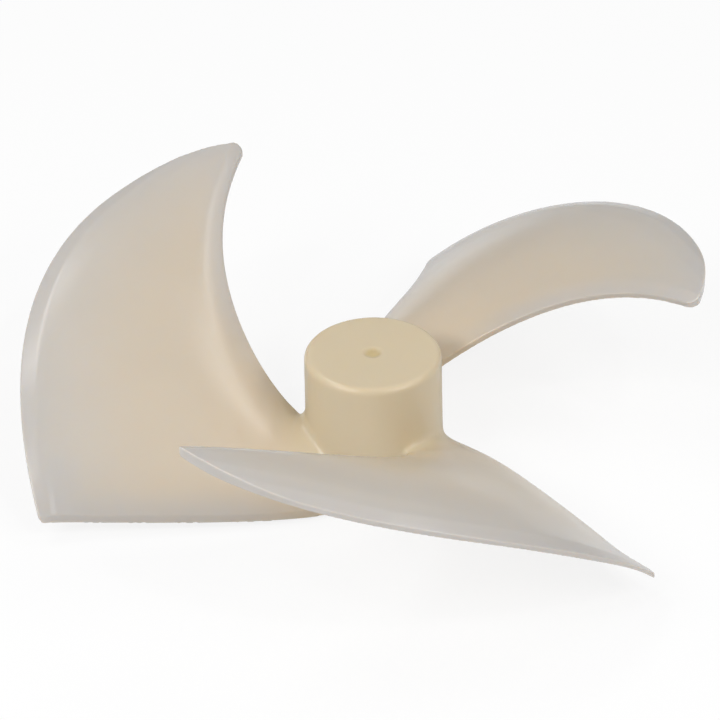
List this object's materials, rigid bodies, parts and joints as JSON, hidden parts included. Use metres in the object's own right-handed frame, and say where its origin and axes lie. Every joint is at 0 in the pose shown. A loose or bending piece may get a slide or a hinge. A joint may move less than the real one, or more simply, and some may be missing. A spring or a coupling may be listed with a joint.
{
  "type": "axial fan impeller",
  "caption": "Axial fan impeller moulded in one piece, with swept blades round a capped hub that has a blind central bore for a motor shaft.",
  "frame": {"origin": "centre of the bore's mouth, on the shaft axis at the open base of the hub", "axes": "+Z along the shaft axis, from the hub's open base to its closed top"},
  "size_m": [0.1068, 0.1083, 0.0329],
  "materials": {
    "moulded_plastic": "satin"
  },
  "bodies": {
    "root": {"impeller": "moulded_plastic"}
  },
  "joints": []
}
